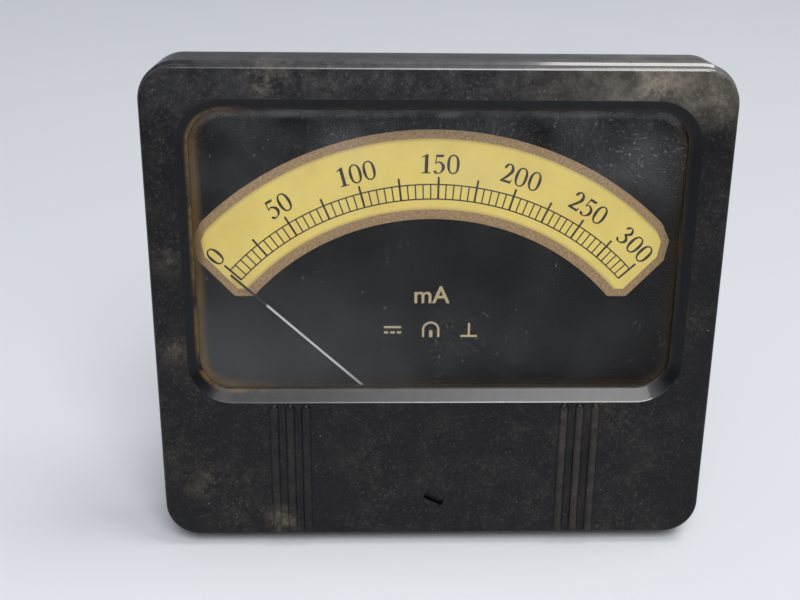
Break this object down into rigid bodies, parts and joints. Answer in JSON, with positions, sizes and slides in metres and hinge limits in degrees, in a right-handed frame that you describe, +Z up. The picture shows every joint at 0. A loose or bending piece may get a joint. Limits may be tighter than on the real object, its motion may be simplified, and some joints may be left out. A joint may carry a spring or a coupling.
{
  "type": "moving-coil panel meter",
  "caption": "Rectangular moving-coil panel meter with a bevelled window, scaled dial, pointer and zero adjuster, on a round barrel with rear terminals and mounting studs.",
  "frame": {"origin": "on the barrel's axis, in the plane of the flange that seats on the panel", "axes": "+X to the right of the face, +Y from the face towards the terminals, +Z up"},
  "size_m": [0.1152, 0.0616, 0.101],
  "materials": {
    "cover_bakelite": "worn, dusty semi-gloss",
    "base_bakelite": "moulded matt",
    "glass": "clear, dusty",
    "gasket": "aged",
    "sheet_steel": "grey lacquer",
    "steel": "plain",
    "black_metal": "black oxide",
    "brass": "dull",
    "resistance_strip": "oxidised",
    "wire": "cloth covered",
    "dial_paint": "matt black with a printed yellow scale",
    "magnet_steel": "black lacquer",
    "soft_iron": "plated",
    "light_alloy": "bright",
    "copper_winding": "enamelled",
    "spring_bronze": "bright"
  },
  "bodies": {
    "case": {"front_cover": "cover_bakelite", "base": "base_bakelite", "window_glass": "glass", "glass_gasket": "gasket", "glass_retainer": "sheet_steel", "retainer_screws": "steel", "case_screws": "steel", "movement_screws": "steel", "pole_screws": "steel", "core_screw": "steel", "bridge_screws": "steel", "pointer_stops": "steel", "dial_screws": "black_metal", "adjuster_washer": "brass", "mounting_studs": "brass", "terminal_studs": "brass", "terminal_nuts": "brass", "terminal_washers": "brass", "dial_posts": "brass", "movement_plate": "brass", "core_bracket": "brass", "bridge_posts": "brass", "front_bridge": "brass", "rear_bridge": "brass", "jewel_screws": "brass", "jewel_nuts": "brass", "spring_abutment": "brass", "shunt": "resistance_strip", "lead_wires": "wire", "dial_plate": "dial_paint", "magnet": "magnet_steel", "pole_piece_left": "soft_iron", "pole_piece_right": "soft_iron", "core": "soft_iron", "rear_hairspring": "spring_bronze"},
    "moving_coil": {"pointer": "light_alloy", "balance_cross": "light_alloy", "balance_weights": "brass", "coil": "copper_winding", "coil_former": "light_alloy", "pivots": "steel", "spring_collets": "brass"},
    "zero_lever_body": {"zero_lever": "brass", "front_hairspring": "spring_bronze"},
    "adjuster": {"zero_adjuster": "black_metal"}
  },
  "joints": [
    {"name": "pointer_turn", "type": "hinge", "parent": "case", "child": "moving_coil", "pos_m": [0, 0, -0.02], "axis": [0, 1, 0], "range_deg": [-2.5, 97.5], "stiffness_Nm_per_rad": 0.00005},
    {"name": "zero_adjust", "type": "hinge", "parent": "case", "child": "adjuster", "pos_m": [0, 0, -0.0301], "axis": [0, 1, 0], "range_deg": [-40, 40]},
    {"name": "lever_turn", "type": "hinge", "parent": "case", "child": "zero_lever_body", "pos_m": [0, 0, -0.02], "axis": [0, 1, 0], "range_deg": [-5.6, 5.6]}
  ],
  "couplings": [
    {"joint": "lever_turn", "follows": "zero_adjust", "ratio": -0.13483}
  ]
}
